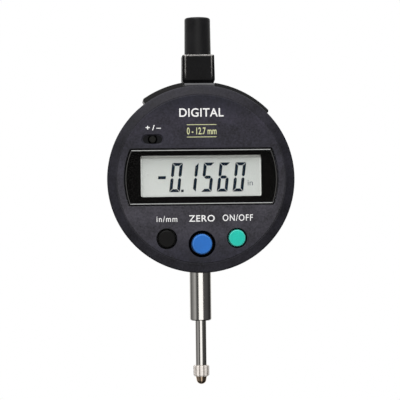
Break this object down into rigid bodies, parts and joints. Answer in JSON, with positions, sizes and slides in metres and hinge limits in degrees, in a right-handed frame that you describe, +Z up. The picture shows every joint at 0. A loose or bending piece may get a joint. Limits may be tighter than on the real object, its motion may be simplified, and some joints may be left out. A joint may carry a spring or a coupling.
{
  "type": "digital dial indicator",
  "caption": "Round digital dial indicator with a display, push buttons, a clamping stem and a spring-loaded spindle with a replaceable contact point.",
  "frame": {"origin": "on the stem's axis, half way along the length of stem that stands out of the case", "axes": "+Z up along the spindle's axis, towards the cap; -Y is the way the display faces; +X is the reader's right"},
  "size_m": [0.0674, 0.0389, 0.1342],
  "materials": {
    "cover_plastic": "fine satin grain",
    "case_plastic": "fine satin grain",
    "back_plate_paint": "satin black",
    "neck_plastic": "satin black",
    "cap_plastic": "satin black",
    "soft_cover": "matt",
    "seal_rubber": "matt",
    "window_glass": "clear",
    "window_print": "black print",
    "display_glass": "grey green reflective",
    "display_ink": "near black",
    "circuit_board": "green solder resist",
    "component_black": "moulded",
    "component_tan": "ceramic",
    "bright_metal": "plated",
    "ground_steel": "ground",
    "spring_steel": "drawn wire",
    "contact_steel": "turned",
    "carbide": "polished",
    "screw_steel": "blackened",
    "brass": "turned",
    "alloy": "machined",
    "scale_glass": "etched",
    "button_black": "satin",
    "button_blue": "satin",
    "button_green": "satin"
  },
  "bodies": {
    "case": {"front_cover": "cover_plastic", "rear_case": "case_plastic", "cover_gasket": "seal_rubber", "case_screws": "screw_steel", "lug_back_plate": "back_plate_paint", "back_plate_screws": "screw_steel", "window_lens": "window_glass", "window_mask": "window_print", "lcd_frame": "case_plastic", "lcd_panel": "display_glass", "lcd_segments": "display_ink", "zebra_strips": "seal_rubber", "main_board": "circuit_board", "board_screws": "screw_steel", "processor_chip": "component_black", "timing_crystal": "bright_metal", "capacitors": "component_tan", "switch_housings": "case_plastic", "detector_board": "circuit_board", "detector_spacers": "brass", "detector_screws": "screw_steel", "board_link": "component_black", "battery_front_contact": "bright_metal", "battery_rear_contact": "bright_metal", "data_socket": "case_plastic", "socket_pins": "brass", "stem": "ground_steel", "lower_bushing": "brass", "bumper_washer": "seal_rubber", "upper_collar": "neck_plastic", "upper_bushing": "brass", "guide_rail": "ground_steel", "guide_rail_screws": "screw_steel"},
    "spindle": {"spindle": "ground_steel", "contact_body": "contact_steel", "carbide_tip": "carbide", "scale_bracket": "alloy", "bracket_clamp_screw": "screw_steel", "moving_scale": "scale_glass", "scale_screws": "screw_steel", "guide_pin": "ground_steel", "spring_seat": "brass", "return_spring": "spring_steel"},
    "unit_button": {"unit_button": "button_black", "unit_plunger": "button_black"},
    "zero_button": {"zero_button": "button_blue", "zero_plunger": "button_black"},
    "power_button": {"power_button": "button_green", "power_plunger": "button_black"},
    "sign_button": {"sign_button": "button_black", "sign_plunger": "button_black"},
    "spindle_cap": {"spindle_cap": "cap_plastic"},
    "battery_drawer": {"battery_drawer": "case_plastic", "battery_cell": "bright_metal"},
    "connector_cover": {"connector_cover": "soft_cover"}
  },
  "joints": [
    {"name": "spindle_slide", "type": "slide", "parent": "case", "child": "spindle", "axis": [0, 0, 1], "range_m": [0, 0.0127], "stiffness_N_per_m": 20, "springref_m": -0.05, "deforming": ["return_spring"]},
    {"name": "unit_press", "type": "slide", "parent": "case", "child": "unit_button", "axis": [0, 1, 0], "range_m": [0, 0.0004], "stiffness_N_per_m": 800},
    {"name": "zero_press", "type": "slide", "parent": "case", "child": "zero_button", "axis": [0, 1, 0], "range_m": [0, 0.0004], "stiffness_N_per_m": 800},
    {"name": "power_press", "type": "slide", "parent": "case", "child": "power_button", "axis": [0, 1, 0], "range_m": [0, 0.0004], "stiffness_N_per_m": 800},
    {"name": "sign_press", "type": "slide", "parent": "case", "child": "sign_button", "axis": [0, 1, 0], "range_m": [0, 0.0004], "stiffness_N_per_m": 800},
    {"name": "cap_pull", "type": "slide", "parent": "case", "child": "spindle_cap", "axis": [0, 0, 1], "range_m": [0, 0.02]},
    {"name": "drawer_slide", "type": "slide", "parent": "case", "child": "battery_drawer", "axis": [-0.3987, 0, 0.9171], "range_m": [0, 0.016]},
    {"name": "connector_cover_pull", "type": "slide", "parent": "case", "child": "connector_cover", "axis": [0.4772, 0, 0.8788], "range_m": [0, 0.008]}
  ]
}
